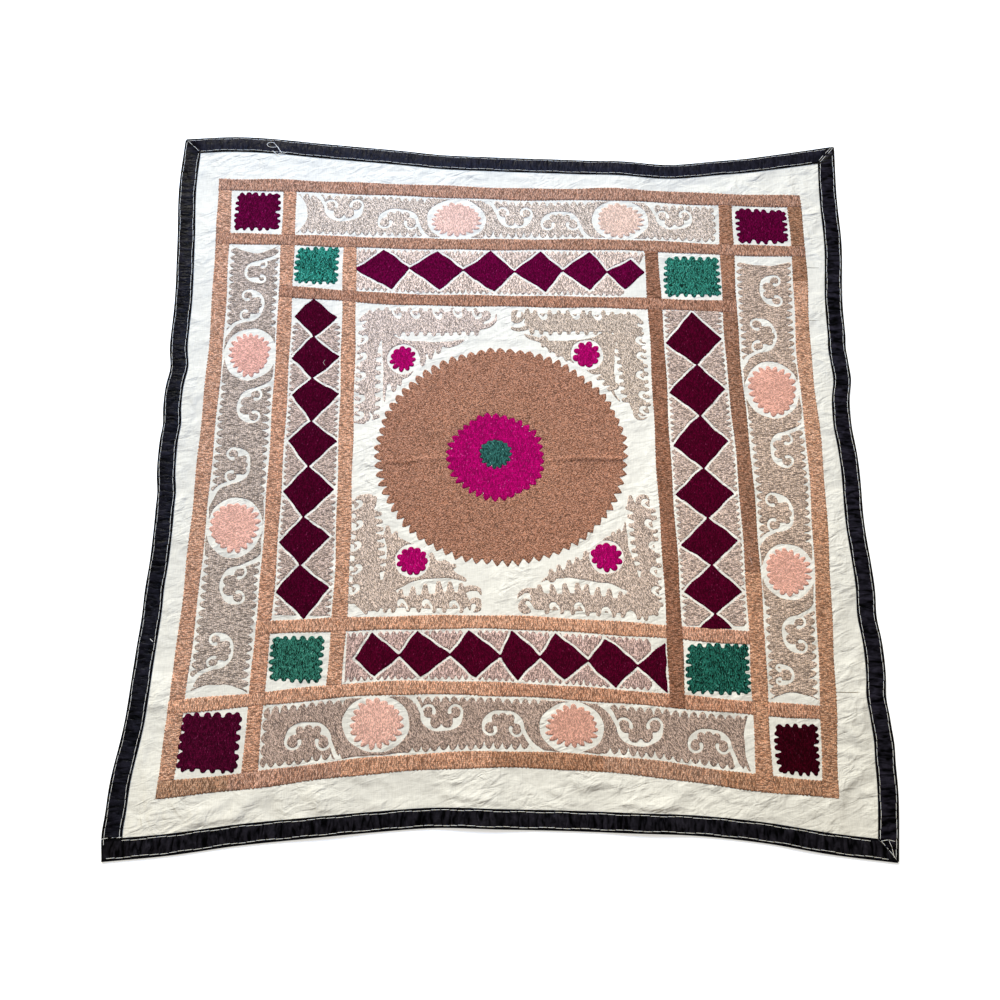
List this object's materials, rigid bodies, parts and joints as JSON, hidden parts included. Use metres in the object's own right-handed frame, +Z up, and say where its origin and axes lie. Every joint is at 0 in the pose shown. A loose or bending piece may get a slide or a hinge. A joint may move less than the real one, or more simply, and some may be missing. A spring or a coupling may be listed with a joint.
{
  "type": "suzani embroidered textile",
  "caption": "Near-square embroidered cotton cloth with a black satin binding, lying flat with gently drawn-in edges and low ripples.",
  "frame": {"origin": "middle of the cloth's outline, on the surface that it rests on", "axes": "+Z up out of the embroidered face, +Y along the longer side, from the lapped corner's end of the cloth to the far end, +X across the width"},
  "size_m": [1.6182, 1.6986, 0.0086],
  "materials": {
    "cotton": "matte plain weave with silk and wool embroidery",
    "satin": "soft satin sheen"
  },
  "bodies": {
    "root": {"ground_cloth": "cotton", "binding_top": "satin", "binding_right": "satin", "binding_bottom": "satin", "binding_left": "satin"}
  },
  "joints": []
}
